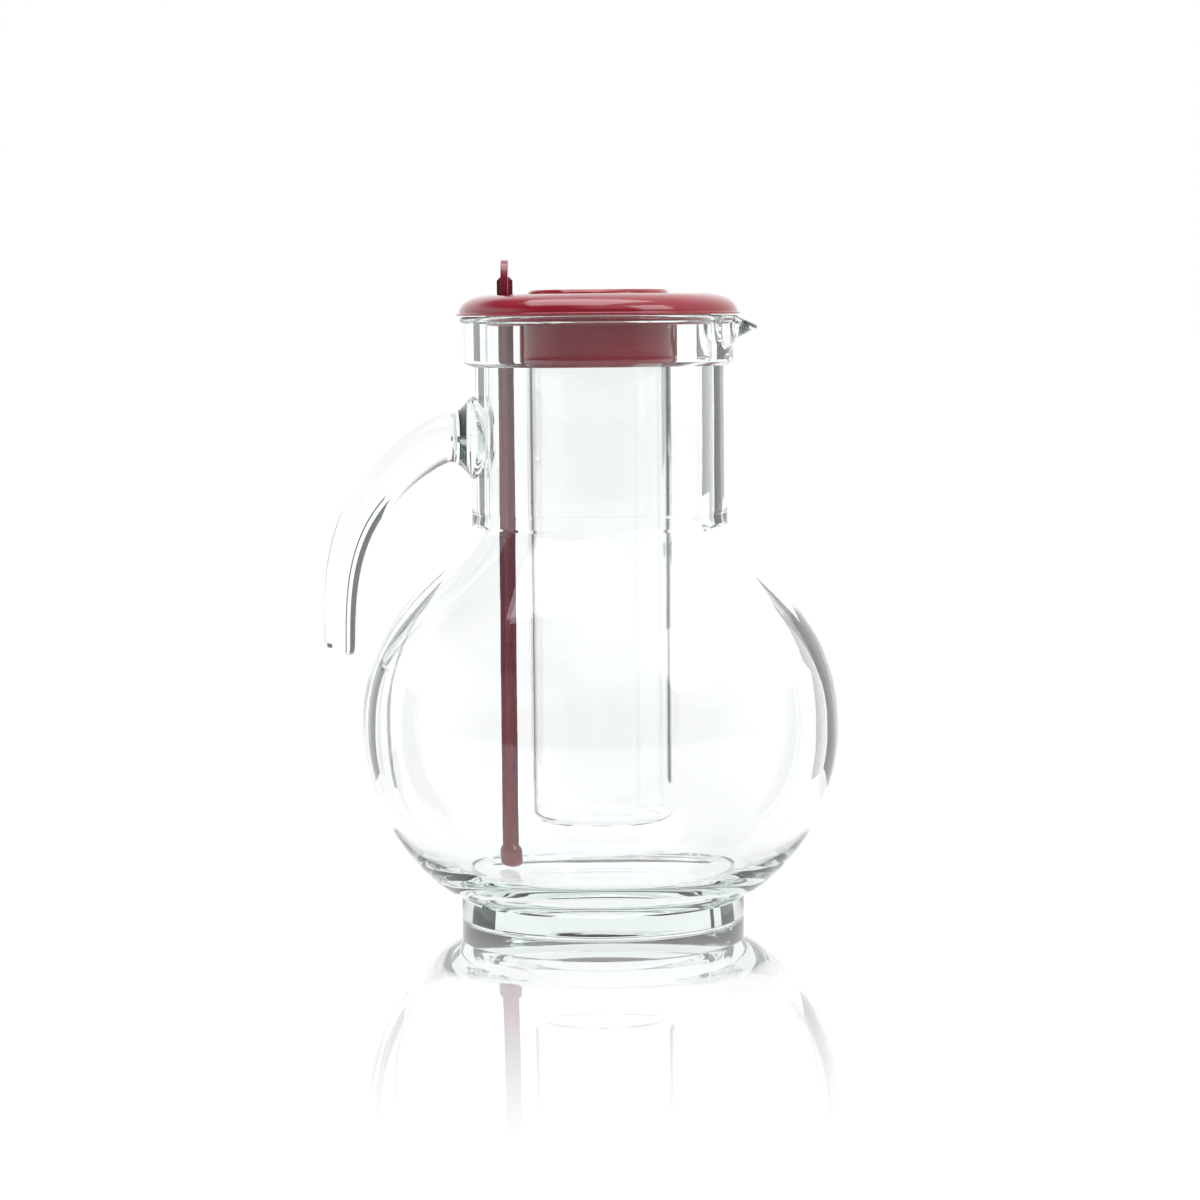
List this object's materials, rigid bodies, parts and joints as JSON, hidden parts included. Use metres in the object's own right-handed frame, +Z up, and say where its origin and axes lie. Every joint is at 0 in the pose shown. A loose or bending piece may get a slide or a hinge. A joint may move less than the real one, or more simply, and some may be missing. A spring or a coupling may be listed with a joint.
{
  "type": "juice carafe",
  "caption": "Ball-shaped glass jug with an open curved handle, pouring lip and plastic lid that carries an ice tube with its cap and a stirrer.",
  "frame": {"origin": "centre of the foot's flat underside, on the surface that the jug stands on", "axes": "+Z up along the jug's axis, +X towards the pouring lip, the handle on the -X side, +Y to the left of someone looking along +X"},
  "size_m": [0.1904, 0.1764, 0.2421],
  "materials": {
    "jug_glass": "clear fire-polished soda-lime glass, faintly wavy, grey-green at the edges",
    "lid_plastic": "glossy moulded red polypropylene",
    "tube_plastic": "clear moulded polystyrene, slightly less bright than the glass"
  },
  "bodies": {
    "jug": {"jug_body": "jug_glass", "jug_handle": "jug_glass"},
    "lid": {"lid": "lid_plastic"},
    "ice_tube": {"ice_tube": "tube_plastic"},
    "ice_tube_cap": {"ice_tube_cap": "lid_plastic"},
    "stirrer": {"stirrer": "lid_plastic"}
  },
  "joints": [
    {"name": "lid_lift", "type": "slide", "parent": "jug", "child": "lid", "axis": [0, 0, 1], "range_m": [0, 0.21]},
    {"name": "ice_tube_lift", "type": "slide", "parent": "lid", "child": "ice_tube", "axis": [0, 0, 1], "range_m": [0, 0.2]},
    {"name": "cap_lift", "type": "slide", "parent": "ice_tube", "child": "ice_tube_cap", "axis": [0, 0, 1], "range_m": [0, 0.03]},
    {"name": "stirrer_lift", "type": "slide", "parent": "lid", "child": "stirrer", "axis": [0, 0, 1], "range_m": [0, 0.22]}
  ]
}
